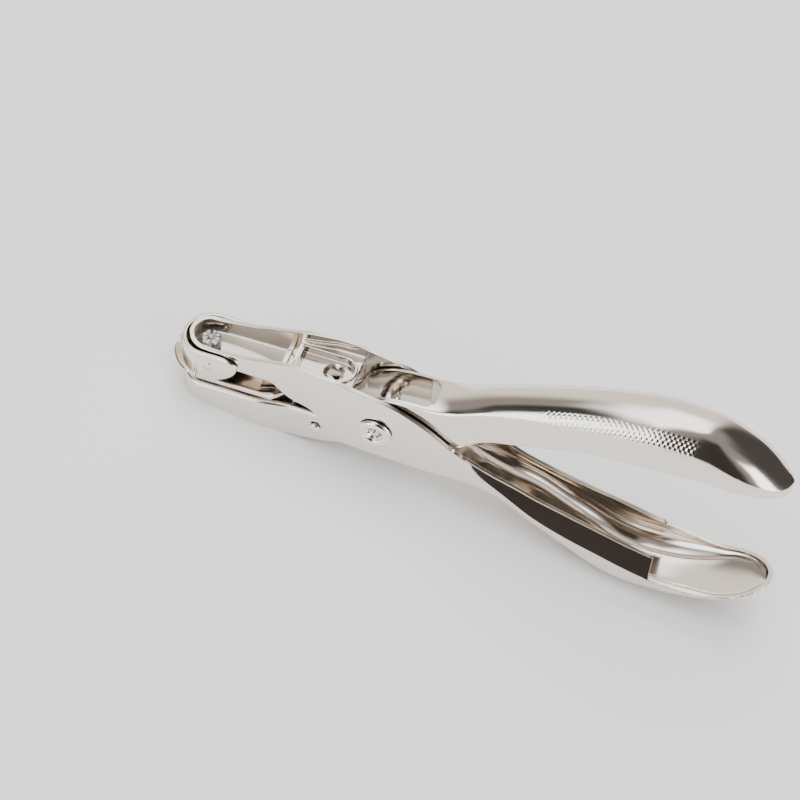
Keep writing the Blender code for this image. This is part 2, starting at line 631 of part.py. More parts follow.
def make_punch_pin(shop, finish):
    """Cutting pin with a hollow-ground tip, a shoulder, a neck and a staked head."""
    body_top = FLOOR_UNDERSIDE - GAP
    head_under = FLOOR_TOP + GAP
    profile = [(0, PIN_TIP + PIN_HOLLOW), (PIN_RADIUS - PIN_LAND, PIN_TIP), (PIN_RADIUS, PIN_TIP + PIN_LAND),
               (PIN_RADIUS, body_top), (PIN_NECK, body_top), (PIN_NECK, head_under),
               (PIN_HEAD, head_under), (PIN_HEAD, PIN_HEAD_TOP - PIN_CHAMFER),
               (PIN_HEAD - PIN_CHAMFER, PIN_HEAD_TOP), (0, PIN_HEAD_TOP)]
    shop.part("punch_pin", placed(turned_mesh(profile), x=HOLE_X), finish, moving=True)


def make_die_bush(shop, finish):
    bottom = DIE_FACE - BUSH_HEIGHT
    wider, length = BUSH_RELIEF
    profile = [(BUSH_BORE, DIE_FACE), (BUSH_BORE, bottom + length), (BUSH_BORE + wider, bottom),
               (BUSH_RADIUS, bottom), (BUSH_RADIUS, DIE_FACE)]
    shop.part("die_bush", placed(turned_mesh(profile), x=HOLE_X), finish)


def rolled_flange(face, inner, outward):
    """Half-round rolled rim from the bore's mouth out to the flange's edge."""
    middle = (RIVET_FLANGE + inner) / 2
    reach = (RIVET_FLANGE - inner) / 2
    return [(middle - reach * math.cos(a), face + outward * RIVET_ROLL * math.sin(a))
            for a in np.linspace(0, math.pi, 9)]


def make_pivot_rivet(shop, finish):
    """Post from the near side with its tenon in the barrel from the far side."""
    seat = PIVOT_HALF + GAP
    bore = POST_RADIUS - 0.75
    post = [(0, -seat + 4.0), (bore, -seat + 4.0), (bore, -seat + 0.9), (bore + 0.5, -seat - 0.1)]
    post += rolled_flange(-seat - 0.1, bore + 0.6, -1)[1:]
    post += [(RIVET_FLANGE, -seat), (POST_RADIUS, -seat), (POST_RADIUS, -0.3),
             (TENON_RADIUS, -0.3), (TENON_RADIUS, 4.6), (0, 4.6)]
    shop.part("pivot_post", placed(turned_mesh(post), across=True), finish, moving=True)
    mouth = BARREL_BORE + 0.4
    barrel = [(BARREL_BORE, 0.0), (BARREL_RADIUS, 0.0), (BARREL_RADIUS, seat),
              (RIVET_FLANGE, seat)]
    barrel += rolled_flange(seat + 0.1, mouth, 1)[::-1]
    barrel += [(BARREL_BORE, seat - 0.4)]
    shop.part("pivot_barrel", placed(turned_mesh(barrel), across=True), finish, moving=True)


def make_return_leaf(shop, finish):
    """Bent strip, its rear flat on the guide plate and its tip under the jaw's floor."""
    path = LEAF_PATH
    upper = [(x, z + LEAF_THICK / 2) for x, z in path]
    lower = [(x, z - LEAF_THICK / 2) for x, z in reversed(path)]
    leaf = shop.part("return_spring", prism_mesh(upper + lower, "y", -LEAF_HALF, LEAF_HALF), finish)
    height = LEAF_PATH[0][1]
    shop.cut(leaf, drill_mesh(LEAF_RIVET_RADIUS + GAP, LEAF_RIVET_X, height, sides=24))


def make_spring_rivet(shop, finish):
    head_low = 1.8 + GAP
    profile = [(LEAF_RIVET_BORE, -0.7), (LEAF_RIVET_HEAD, -0.7), (LEAF_RIVET_HEAD, -GAP),
               (LEAF_RIVET_RADIUS, -GAP), (LEAF_RIVET_RADIUS, head_low),
               (LEAF_RIVET_HEAD, head_low), (LEAF_RIVET_HEAD - 0.1, head_low + 0.3),
               (LEAF_RIVET_BORE + 0.4, head_low + 0.6), (LEAF_RIVET_BORE, head_low + 0.3)]
    shop.part("spring_rivet", placed(turned_mesh(profile[::-1], sides=24), x=LEAF_RIVET_X), finish)


def make_guide_rivets(shop, finish):
    """Two domed rivets that hold the guide plate's lugs to the die lever's walls."""
    outer = DIE_EAR_HALF + GAP
    inner = GUIDE_TONGUE_HALF - GUIDE_SHEET - GAP
    shank, head = LUG_RIVET_RADIUS, LUG_RIVET_HEAD
    profile = [(0, inner - 0.5), (head, inner - 0.5), (head, inner), (shank, inner),
               (shank, outer), (head, outer), (head * 0.85, outer + 0.3),
               (head * 0.5, outer + 0.5), (0, outer + 0.6)]
    x, z = LUG_RIVET
    for name, side in (("near", -1), ("far", 1)):
        turned = turned_mesh([(r, side * h) for r, h in profile], sides=16)
        shop.part(f"guide_rivet_{name}", placed(turned, x=x, z=z, across=True), finish)


# ---------------------------------------------------------------- assembly

def stance_angle():
    """Tilt of the line from the die jaw's nose that just touches the handle's belly."""
    nose = DIE_NOSE_CENTRE - DIE_NOSE_RADIUS
    front, tail = punch_stations()
    belly = [x for x in front + tail if x > TROUGH_START]
    return max(math.atan2(DIE_NOSE_FOOT - smooth(PUNCH_UNDERSIDE, x), x - nose) for x in belly)


def span_x(collection):
    """Lowest and highest X of all pieces as they stand."""
    graph = bpy.context.evaluated_depsgraph_get()
    low, high = math.inf, -math.inf
    for piece in collection.objects:
        if piece.type != "MESH":
            continue
        ready = piece.evaluated_get(graph)
        mesh = ready.to_mesh()
        for vertex in mesh.vertices:
            x = (ready.matrix_world @ vertex.co).x
            low = min(low, x)
            high = max(high, x)
        ready.to_mesh_clear()
    return low, high


def main():
    for old in list(bpy.data.objects):
        bpy.data.objects.remove(old)
    shop = Workshop()
    nickel = material("nickel_plate", NICKEL)
    rivet = material("rivet_steel", RIVET_STEEL)
    pin = material("hardened_steel", PIN_STEEL)
    spring = material("spring_steel", SPRING_STEEL)
    tilt = stance_angle()
    make_punch_lever(shop, nickel)
    make_die_lever(shop, nickel, math.tan(tilt))
    make_guide_plate(shop, nickel)
    make_punch_pin(shop, pin)
    make_die_bush(shop, pin)
    make_pivot_rivet(shop, rivet)
    make_return_leaf(shop, spring)
    make_spring_rivet(shop, rivet)
    make_guide_rivets(shop, rivet)
    nose = DIE_NOSE_CENTRE - DIE_NOSE_RADIUS
    lift = -(DIE_NOSE_FOOT * math.cos(tilt) + nose * math.sin(tilt))
    shop.stance.rotation_euler = (0, -tilt, 0)
    shop.stance.location = (0, 0, lift * MM)
    low, high = span_x(shop.parts)
    shop.stance.location.x = -(low + high) / 2
    bpy.context.view_layer.update()


main()
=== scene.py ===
"""Looks for the single-hole plier punch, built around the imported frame.

Each CAD piece is drawn again with a fine surface, in the tool's own frame in
millimetres: origin on the pivot axis, +X along the handles, +Z up. The stance
matrix then carries it into the frame.
"""

import json
import math

import bmesh
import bpy
import numpy as np
from mathutils import Matrix, Vector


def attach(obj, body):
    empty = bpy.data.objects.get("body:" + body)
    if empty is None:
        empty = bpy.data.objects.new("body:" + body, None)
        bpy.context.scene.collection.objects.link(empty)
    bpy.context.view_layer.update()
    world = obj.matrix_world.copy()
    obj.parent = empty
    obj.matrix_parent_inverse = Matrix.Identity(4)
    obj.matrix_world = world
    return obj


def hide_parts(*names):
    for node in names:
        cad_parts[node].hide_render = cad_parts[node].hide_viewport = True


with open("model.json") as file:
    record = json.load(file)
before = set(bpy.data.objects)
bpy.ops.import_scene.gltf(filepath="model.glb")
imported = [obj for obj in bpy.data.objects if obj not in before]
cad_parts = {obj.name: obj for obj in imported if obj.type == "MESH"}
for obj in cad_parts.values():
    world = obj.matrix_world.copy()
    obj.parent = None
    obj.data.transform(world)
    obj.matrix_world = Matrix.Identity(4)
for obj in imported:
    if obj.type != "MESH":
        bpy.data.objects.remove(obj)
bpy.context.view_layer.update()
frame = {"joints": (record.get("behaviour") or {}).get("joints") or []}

MM = 0.001
SHEET = 1.0
GAP = 0.3
STEP = 0.05
SLIVER = 0.05
OVER = 3.0
FAR = 30.0
STATION = 1.0               # spacing of the sections along a lever
EDGE_ROUND = 0.14           # rounding of the stamped edges
TURNED_SIDES = 96
MOVING = "punch_side"
FIXED = "die_side"

# Paper slot, measured up from the pivot axis.
GUIDE_UNDERSIDE = 0.0
GUIDE_THICK = 1.0
DIE_FACE = -1.8
FLOOR_UNDERSIDE = 4.2
FLOOR_TOP = FLOOR_UNDERSIDE + SHEET

HOLE_X = -40.1

# Punch lever: upper jaw and lower handle.
PUNCH_NOSE_CENTRE = -39.9
PUNCH_NOSE_RADIUS = 4.8
PUNCH_TAIL_CENTRE = 78.0
PUNCH_TAIL_LENGTH = 11.5
PUNCH_HALF_WIDTH = [(-39.9, 4.8), (-35.0, 5.05), (-22.0, 5.3), (-16.0, 5.8), (-12.5, 6.2),
                    (-9.0, 6.25), (18.0, 6.25), (30.0, 6.6), (36.0, 7.4), (48.0, 8.1),
                    (60.0, 8.4), (66.0, 8.4), (71.0, 8.1), (78.0, 7.4)]
PUNCH_EDGE = [(-44.7, 9.3), (-39.5, 8.8), (-31.5, 9.6), (-25.8, 10.9), (-17.5, 12.5),
              (-11.5, 12.5), (-5.8, 11.4), (2.8, 9.5), (9.8, 6.3), (17.5, 0.8), (24.4, -4.7),
              (38.7, -12.3), (52.9, -16.6), (65.8, -19.8), (75.9, -20.6), (84.3, -18.2),
              (89.5, -16.4)]
PUNCH_UNDERSIDE = [(-44.7, 4.2), (-24.5, 4.2), (-20.0, 1.6), (-14.4, 0.2), (-12.6, -2.2),
                   (-6.4, -7.4), (4.0, -8.0), (12.0, -8.3), (18.0, -9.4), (29.5, -13.0),
                   (44.0, -20.4), (54.0, -25.4), (60.0, -26.6), (67.0, -26.4), (76.0, -24.4),
                   (84.5, -21.0), (89.5, -19.0)]
PUNCH_BEND = [(-44.7, 1.2), (-25.0, 1.2), (-22.0, 0.25), (12.0, 0.25), (18.0, 2.2), (26.0, 4.2),
              (45.0, 5.4), (60.0, 6.2), (78.0, 6.5), (89.5, 6.5)]
FLANGE_RISE = [(17.0, 0.0), (21.0, 1.0), (28.0, 2.0), (36.0, 3.2), (44.0, 3.8), (64.0, 4.1)]
FLANGE_END = 64.0
FLANGE_LEAN = 0.8
INNER_BEND = 1.0
BEND_STEPS = 16
EDGE_STEP = 0.6
JAW_FLOOR_END = -6.5
FLOOR_RISE = [(-24.0, 0.0), (-22.8, 0.5), (-20.9, 3.6), (-19.8, 4.1)]
TROUGH_START = 16.0
WALLS_DROP_FROM = -24.9
SEAT = (-19.6, -7.4)
SEAT_HALF = 3.2
SEAT_RIM = 0.6
SEAT_RIM_TOP = 9.8
SEAT_FLOOR = 7.9
SEAT_SHEET = 0.8
SEAT_HOLE_X = -11.8
SEAT_HOLE_RADIUS = 1.5
SEAT_SINK = 0.45
SEAT_SINK_REACH = 0.9

# Die lever: upper handle and lower jaw.
DIE_NOSE_CENTRE = -40.1
DIE_NOSE_RADIUS = 5.9
DIE_TAIL_CENTRE = 75.0
DIE_TAIL_LENGTH = 13.3
DIE_EAR_HALF = 4.9
DIE_HALF_WIDTH = [(-40.1, 5.9), (-28.0, 5.9), (-20.0, DIE_EAR_HALF), (24.0, DIE_EAR_HALF),
                  (30.0, 5.25), (36.5, 5.8), (44.8, 6.4), (53.0, 6.9), (61.0, 7.2), (75.0, 7.2)]
DIE_CROWN = [(-46.0, DIE_FACE), (-12.5, DIE_FACE), (-10.0, -1.4), (-7.6, 0.6), (-6.4, 3.0),
             (-5.0, 6.2), (-3.2, 7.9), (1.3, 10.0), (5.8, 10.7), (9.0, 11.0), (14.0, 12.0),
             (23.9, 16.9), (36.5, 22.2), (44.8, 25.1), (53.0, 27.2), (61.3, 28.4),
             (69.8, 27.9), (79.0, 24.3), (84.2, 20.9), (88.3, 17.0)]
DIE_CROWN_RISE = [(-46.0, 0.6), (-12.5, 0.6), (-6.0, 0.3), (6.0, 0.3), (9.0, 0.6), (14.0, 1.2),
                  (23.9, 2.2), (36.5, 3.8), (44.8, 4.9), (53.0, 5.2), (61.3, 5.4),
                  (69.8, 5.6), (79.0, 4.3), (84.2, 3.0), (88.3, 0.8)]
DIE_NOSE_FOOT = -7.2
DIE_FOOT_END = -22.0
DIE_EDGE = [(-12.0, -10.4), (-4.0, -7.6), (1.0, -7.0), (8.0, -5.4), (17.4, 0.5), (23.0, 5.5),
            (30.6, 8.5), (40.0, 12.4), (48.6, 15.2), (61.5, 16.5), (70.0, 17.2), (79.0, 16.6),
            (84.0, 15.9), (88.3, 14.6)]
DIE_WEB_END = -19.9
DIE_WEB_START = 9.2
DIE_WEB_NOTCH = 2.8
CREASE = 0.75               # reach of the fillet where the back meets the wall
ARCH_STEPS = 60
FILLET_STEPS = 6
DIE_RAMP = (-14.0, 4.0)      # where the jaw's face climbs to the ears
DIE_RAMP_STATION = 0.4

# Knurled bands along both shoulders of the upper handle.
KNURL_RANGE = (35.0, 68.0)
KNURL_PITCH = 1.1
KNURL_DEPTH = 0.10
KNURL_STATION = 0.19
KNURL_INNER = 0.62          # the band's upper limit, as a share of the half width

# Guide plate.
GUIDE_SHEET = 0.8
GUIDE_HALF = 6.15
GUIDE_NOSE_CENTRE = HOLE_X
GUIDE_WIDE_END = -24.0
GUIDE_TONGUE = (-21.5, -10.2)
GUIDE_TONGUE_HALF = DIE_EAR_HALF - SHEET - GAP
EAR_END = -31.0
EAR_PROFILE = [(-60.0, 8.2), (-45.5, 8.2), (-42.5, 8.4), (-35.5, 8.5), (-32.9, 7.9),
               (-31.7, 6.5), (-32.6, 4.3), (-34.3, 2.6), (-36.3, 1.3), (-37.4, 1.0)]
LIP_SECTION = [(5.8, 0.15), (6.4, 0.15), (8.05, 3.2), (7.52, 3.47), (5.8, 0.95)]
LIP_TURN = math.radians(80)
LIP_TAPER = math.radians(12)
LIP_LEAST = 0.15
LIP_MARK = 0.55
LIP_MARK_TURN = math.radians(6)
BEAD = (-38.4, 5.4)
BEAD_RADIUS = 1.9
BEAD_RISE = 0.6
LUG_PROFILE = [(-19.6, 0.5), (-10.6, 0.5), (-10.6, -2.0), (-11.4, -8.4), (-13.0, -9.4),
               (-18.0, -9.4), (-19.6, -7.8)]
LUG_RIVET = (-14.0, -6.4)
LUG_RIVET_RADIUS = 0.6
LUG_RIVET_HEAD = 1.3

# Pin, bush, rivets and leaf.
PIN_RADIUS = 3.0
PIN_TIP = 0.2
PIN_NECK = 1.8
PIN_HEAD = 2.2
PIN_HEAD_TOP = 7.6
PIN_HOLLOW = 0.7
PIN_CHAMFER = 0.3
STAR_RAYS = 4
STAR_HALF = 0.38
STAR_DEPTH = 0.7
STAR_REACH = 2.4
BUSH_RADIUS = 4.2
BUSH_BORE = 3.2
BUSH_HEIGHT = 2.2
GUIDE_BORE = 3.4
RIVET_FLANGE = 3.9
RIVET_ROLL = 0.75
POST_RADIUS = 1.95
BARREL_RADIUS = 2.1
BARREL_BORE = 1.6
POST_HOLLOW = 4.0
TENON_RADIUS = 1.4
TENON_END = 4.6
PIVOT_BORE = BARREL_RADIUS + 0.15
PIVOT_HALF = 6.25
LEAF_THICK = 0.5
LEAF_HALF = 2.6
LEAF_PATH = [(-10.8, 1.55), (-17.5, 1.55), (-19.5, 1.75), (-22.5, 2.6), (-26.5, 3.5),
             (-27.8, 3.62)]
LEAF_RIVET_X = -13.2
LEAF_RIVET_RADIUS = 1.1
LEAF_RIVET_HEAD = 1.9
LEAF_RIVET_BORE = 0.65

# Camera, in the tool's frame: a long lens that looks down from the near side.
CAMERA_TARGET = Vector((2.07, 4.52, -0.59))
CAMERA_DISTANCE = 550.0
CAMERA_AZIMUTH = math.radians(15.04)
CAMERA_ELEVATION = math.radians(51.39)
CAMERA_ROLL = math.radians(4.93)
CAMERA_LENS = 113.9
CAMERA_SENSOR = 36.0

# Soft panels painted on the surroundings, each over the ones before it: azimuth (0 is the
# camera's side, 90 the right), its half width, elevation, its half height, fade, all in
# degrees, then colour.
PANELS = [
    (-160, 38, 20, 34, 14, (1.35, 1.26, 1.12)),      # wall behind
    (-108, 76, 74, 26, 12, (3.2, 3.2, 3.25)),        # high window on the left
    (-70, 15, 34, 12, 7, (0.055, 0.058, 0.055)),     # its sill
    (-33, 22, 6, 27, 6, (3.6, 3.8, 3.8)),            # low panel on the left
    (15, 22, 22, 46, 7, (0.055, 0.045, 0.040)),      # dark around the camera
    (122, 42, 28, 34, 12, (0.085, 0.08, 0.075)),     # dark corner on the right
    (62, 12, 22, 24, 4, (4.5, 4.45, 4.4)),           # window on the right
]
ROOM = (0.36, 0.335, 0.31)
FILL_POWER = 58.0           # overhead light that the metal doesn't mirror


# ---------------------------------------------------------------- helpers

def smooth(points, x):
    """Value at x of a monotone cubic through points, held level past both ends."""
    xs = [p[0] for p in points]
    ys = [p[1] for p in points]
    if x <= xs[0]:
        return ys[0]
    if x >= xs[-1]:
        return ys[-1]
    i = max(k for k in range(len(xs) - 1) if xs[k] < x)
    h = [b - a for a, b in zip(xs, xs[1:])]
    slope = [(b - a) / w for a, b, w in zip(ys, ys[1:], h)]

    def tangent(k):
        if k == 0 or k == len(xs) - 1:
            return slope[min(k, len(slope) - 1)]
        a, b = slope[k - 1], slope[k]
        return 2 * a * b / (a + b) if a * b > 0 else 0.0

    t = (x - xs[i]) / h[i]
    return (ys[i] * (1 + 2 * t) * (1 - t) ** 2 + tangent(i) * h[i] * t * (1 - t) ** 2
            + ys[i + 1] * t * t * (3 - 2 * t) + tangent(i + 1) * h[i] * t * t * (t - 1))


def eased(points, x, spread=2.4):
    """smooth() averaged over a short stretch, so that reflections run on without kinks."""
    if x < TROUGH_START + spread:
        return smooth(points, x)
    shares = [(-1.0, 1), (-0.5, 3), (0.0, 4), (0.5, 3), (1.0, 1)]
    total = sum(weight * smooth(points, x + spread * shift) for shift, weight in shares)
    return total / sum(weight for shift, weight in shares)


def stance_angle():
    """Tilt of the line from the die jaw's nose that just touches the lower handle's belly."""
    nose = DIE_NOSE_CENTRE - DIE_NOSE_RADIUS
    belly = [x for x, z in PUNCH_UNDERSIDE if x > TROUGH_START]
    belly += list(np.linspace(50.0, 75.0, 251))
    return max(math.atan2(DIE_NOSE_FOOT - smooth(PUNCH_UNDERSIDE, x), x - nose) for x in belly)


TILT = stance_angle()
PIVOT = Vector(frame["joints"][0]["pos_m"])
STANCE = Matrix.Translation(PIVOT) @ Matrix.Rotation(-TILT, 4, "Y")
STANCE_MM = STANCE @ Matrix.Scale(MM, 4)


def solid(name, bm):
    """An object from a closed mesh drawn in millimetres, still in the tool's frame."""
    bmesh.ops.recalc_face_normals(bm, faces=bm.faces)
    if bm.calc_volume(signed=True) < 0:
        bmesh.ops.reverse_faces(bm, faces=bm.faces)
    mesh = bpy.data.meshes.new(name)
    bm.to_mesh(mesh)
    bm.free()
    made = bpy.data.objects.new(name, mesh)
    bpy.context.scene.collection.objects.link(made)
    return made


def bake(piece):
    """Replaces an object's mesh with its evaluated one, and drops the modifiers."""
    graph = bpy.context.evaluated_depsgraph_get()
    mesh = bpy.data.meshes.new_from_object(piece.evaluated_get(graph))
    piece.modifiers.clear()
    old = piece.data
    piece.data = mesh
    bpy.data.meshes.remove(old)


def combine(piece, bm, operation="DIFFERENCE"):
    tool = solid("tool", bm)
    step = piece.modifiers.new("step", "BOOLEAN")
    step.operation = operation
    step.object = tool
    bake(piece)
    bpy.data.objects.remove(tool)


def finish(piece, body, node, material, rounding=EDGE_ROUND, angle=38.0, crease=32.0):
    """Rounds the edges, smooths the shading, and sets the piece in the frame."""
    edge = piece.modifiers.new("edge", "BEVEL")
    edge.width = rounding
    edge.segments = 2
    edge.limit_method = "ANGLE"
    edge.angle_limit = math.radians(angle)
    edge.use_clamp_overlap = False
    bake(piece)
    weld = bmesh.new()
    weld.from_mesh(piece.data)
    bmesh.ops.remove_doubles(weld, verts=weld.verts, dist=0.002)
    bmesh.ops.dissolve_degenerate(weld, edges=weld.edges, dist=0.002)
    weld.to_mesh(piece.data)
    weld.free()
    piece.data.shade_smooth()
    piece.data.set_sharp_from_angle(angle=math.radians(crease))
    piece.data.transform(STANCE_MM)
    piece.data.materials.clear()
    piece.data.materials.append(material)
    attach(piece, body)
    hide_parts(node)


def loft(sections):
    """Closed mesh through sections (x, [(y, z), ...]) that have equally many points."""
    bm = bmesh.new()
    rows = [[bm.verts.new((x, y, z)) for y, z in ring] for x, ring in sections]
    count = len(rows[0])
    for a, b in zip(rows, rows[1:]):
        for i in range(count):
            j = (i + 1) % count
            bm.faces.new((a[i], a[j], b[j], b[i]))
    bm.faces.new(rows[0])
    bm.faces.new(list(reversed(rows[-1])))
    return bm


def prism(outline, axis, low, high):
    bm = bmesh.new()
    place = {"y": lambda p: (p[0], low, p[1]), "z": lambda p: (p[0], p[1], low)}[axis]
    travel = {"y": (0, high - low, 0), "z": (0, 0, high - low)}[axis]
    face = bm.faces.new([bm.verts.new(place(p)) for p in outline])
    grown = bmesh.ops.extrude_face_region(bm, geom=[face])
    moved = [v for v in grown["geom"] if isinstance(v, bmesh.types.BMVert)]
    bmesh.ops.translate(bm, vec=travel, verts=moved)
    return bm


def turned(profile, sides=TURNED_SIDES, x=0.0, y=0.0, z=0.0, across=False):
    """Mesh turned about Z, or about Y if it lies across, from (radius, height) points."""
    bm = bmesh.new()
    rows = []
    for radius, height in profile:
        if radius == 0:
            rows.append([bm.verts.new((0, 0, height))])
            continue
        turn = [2 * math.pi * (i + 0.5) / sides for i in range(sides)]
        rows.append([bm.verts.new((radius * math.cos(a), radius * math.sin(a), height))
                     for a in turn])
    pairs = list(zip(rows, rows[1:]))
    if profile[0][0] > 0:
        pairs.append((rows[-1], rows[0]))
    for a, b in pairs:
        for i in range(sides):
            j = (i + 1) % sides
            corners = [a[i % len(a)], a[j % len(a)], b[j % len(b)], b[i % len(b)]]
            bm.faces.new(list(dict.fromkeys(corners)))
    if across:
        for v in bm.verts:
            v.co = (v.co.x, v.co.z, -v.co.y)
    bmesh.ops.translate(bm, vec=(x, y, z), verts=bm.verts)
    return bm


def drill(radius, x, z):
    """An upright drill through one sheet whose face is near z."""
    return turned([(0, -2), (radius, -2), (radius, 2), (0, 2)], x=x, z=z)


def both_sides(half):
    return [(-y, z) for y, z in half] + [(y, z) for y, z in reversed(half)]


def stretch(low, high, step=STATION):
    """Stations from low up to but not at high."""
    count = max(int(round((high - low) / step)), 1)
    return [low + (high - low) * i / count for i in range(count)]


def end_stations(centre, length, steps=26, start=0.05):
    """Stations that crowd towards a rounded end, from its tip back to its centre."""
    return [centre + length * math.cos(a) for a in np.linspace(start, math.pi / 2, steps)]


# ---------------------------------------------------------------- punch lever

def punch_half_width(x, inset):
    if x < PUNCH_NOSE_CENTRE:
        return math.sqrt(max((PUNCH_NOSE_RADIUS - inset) ** 2 - (x - PUNCH_NOSE_CENTRE) ** 2, 0))
    if x > PUNCH_TAIL_CENTRE:
        part = (x - PUNCH_TAIL_CENTRE) / (PUNCH_TAIL_LENGTH - inset)
        return (PUNCH_HALF_WIDTH[-1][1] - inset) * math.sqrt(max(1 - part * part, 0))
    return eased(PUNCH_HALF_WIDTH, x) - inset


def punch_half_section(x, inset, bottom=None):
    """Half of the channel's outline, from the free edge down to the bottom's middle."""
    width = punch_half_width(x, inset)
    edge = eased(PUNCH_EDGE, x)
    bend = smooth(PUNCH_BEND, x)
    if bottom is None:
        bottom = eased(PUNCH_UNDERSIDE, x) + inset
    else:
        bend = INNER_BEND
    rise = smooth(FLANGE_RISE, x)
    shoulder = edge if rise > EDGE_STEP else edge - EDGE_STEP + rise
    rise = max(rise, EDGE_STEP)
    lean = FLANGE_LEAN * (rise - EDGE_STEP)
    bottom = min(bottom, shoulder - 0.4)
    bend = max(bend - inset * 0.7, 0.1)
    across = min(bend, width * 0.96)
    up = min(bend, (shoulder - bottom) * 0.9)
    half = [(max(width - lean, 0.02), shoulder + rise), (width, shoulder)]
    for i in range(BEND_STEPS + 1):
        a = math.pi / 2 * i / BEND_STEPS
        half.append((width - across * (1 - math.cos(a)), bottom + up * (1 - math.sin(a))))
    return half


def punch_stations():
    nose = [2 * PUNCH_NOSE_CENTRE - x for x in end_stations(PUNCH_NOSE_CENTRE, PUNCH_NOSE_RADIUS)]
    body = stretch(PUNCH_NOSE_CENTRE + STATION, FLANGE_END) + [FLANGE_END]
    tail = stretch(FLANGE_END + STATION, PUNCH_TAIL_CENTRE)
    return nose, body, tail


def punch_outer():
    nose, body, tail = punch_stations()
    stations = nose + body + tail + end_stations(PUNCH_TAIL_CENTRE, PUNCH_TAIL_LENGTH)[::-1]
    return loft([(x, both_sides(punch_half_section(x, 0.0))) for x in stations])


def above_spoon():
    """What is trimmed off behind the flanges' square end, down to the spoon's edge."""
    low = [(x, eased(PUNCH_EDGE, x)) for x in np.linspace(FLANGE_END, PUNCH_TAIL_CENTRE + 14, 40)]
    return prism(low + [(low[-1][0], FAR), (FLANGE_END, FAR)], "y", -FAR, FAR)


def floor_top(x):
    return FLOOR_TOP + smooth(FLOOR_RISE, x)


def punch_cavity():
    nose, body, tail = punch_stations()
    inner = [2 * PUNCH_NOSE_CENTRE - x
             for x in end_stations(PUNCH_NOSE_CENTRE, PUNCH_NOSE_RADIUS - SHEET)]
    body = body + tail + end_stations(PUNCH_TAIL_CENTRE, PUNCH_TAIL_LENGTH - SHEET)[::-1]
    stations = [(x, floor_top(x)) for x in inner + body if x < JAW_FLOOR_END]
    stations += [(JAW_FLOOR_END, floor_top(JAW_FLOOR_END)), (JAW_FLOOR_END + STEP, -FAR)]
    stations += [(x, -FAR) for x in body if JAW_FLOOR_END + STEP < x < TROUGH_START]
    stations += [(TROUGH_START, -FAR), (TROUGH_START + STEP, None)]
    stations += [(x, None) for x in body if x > TROUGH_START + STEP]
    sections = []
    for x, bottom in stations:
        half = punch_half_section(x, SHEET, bottom)
        sections.append((x, both_sides([(half[0][0], FAR)] + half)))
    return loft(sections)


def below_jaw_floor():
    inset = SHEET + SLIVER
    behind = [x for x in punch_stations()[1]
              if WALLS_DROP_FROM + SHEET / 2 < x < JAW_FLOOR_END]
    sections = []
    for x in [WALLS_DROP_FROM] + behind + [JAW_FLOOR_END + SHEET / 2]:
        width = punch_half_width(x, inset)
        top = floor_top(x) - SHEET
        sections.append((x, [(-width, top), (-width, -FAR), (width, -FAR), (width, top)]))
    return loft(sections)


def seat_outline(grow):
    """A D: square towards the nose, round towards the pivot."""
    front, rear = SEAT
    half = SEAT_HALF + grow
    arc = [(rear - SEAT_HALF + half * math.sin(a), half * math.cos(a))
           for a in np.linspace(0, math.pi, 41)]
    return [(front - grow, half)] + arc + [(front - grow, -half)]


def seat_dish():
    """A shallow cone that sinks the seat's floor around its hole."""
    wide = SEAT_HOLE_RADIUS + SEAT_SINK_REACH
    cone = [(0, -SEAT_SINK), (SEAT_HOLE_RADIUS, -SEAT_SINK), (wide, 0.0), (wide, OVER), (0, OVER)]
    return turned(cone, x=SEAT_HOLE_X, z=SEAT_FLOOR)


def pivot_drill():
    reach = PIVOT_HALF + 1.75
    return turned([(0, -reach), (PIVOT_BORE, -reach), (PIVOT_BORE, reach), (0, reach)],
                  across=True)


def make_punch_lever(material):
    lever = solid("punch_lever_skin", punch_outer())
    combine(lever, punch_cavity())
    combine(lever, below_jaw_floor())
    combine(lever, above_spoon())
    seat = prism(seat_outline(SEAT_RIM), "z", SEAT_FLOOR - SEAT_SHEET, SEAT_RIM_TOP)
    combine(lever, seat, "UNION")
    combine(lever, prism(seat_outline(0.0), "z", SEAT_FLOOR, SEAT_FLOOR + OVER))
    combine(lever, seat_dish())
    combine(lever, drill(SEAT_HOLE_RADIUS, SEAT_HOLE_X, SEAT_FLOOR))
    combine(lever, drill(PIN_NECK + GAP, HOLE_X, FLOOR_UNDERSIDE))
    combine(lever, pivot_drill())
    finish(lever, MOVING, "punch_lever", material, crease=18.0)


# ---------------------------------------------------------------- die lever

def die_half_width(x, inset=0.0):
    if x < DIE_NOSE_CENTRE:
        return math.sqrt(max((DIE_NOSE_RADIUS - inset) ** 2 - (x - DIE_NOSE_CENTRE) ** 2, 0))
    if x > DIE_TAIL_CENTRE:
        part = (x - DIE_TAIL_CENTRE) / (DIE_TAIL_LENGTH - inset)
        return (DIE_HALF_WIDTH[-1][1] - inset) * math.sqrt(max(1 - part * part, 0))
    return eased(DIE_HALF_WIDTH, x) - inset


def die_lower_edge(x):
    nose = DIE_NOSE_CENTRE - DIE_NOSE_RADIUS
    slope = math.tan(TILT)
    if x <= DIE_FOOT_END:
        return DIE_NOSE_FOOT - (x - nose) * slope
    foot = DIE_NOSE_FOOT - (DIE_FOOT_END - nose) * slope
    return eased([(DIE_FOOT_END, foot)] + DIE_EDGE, x)


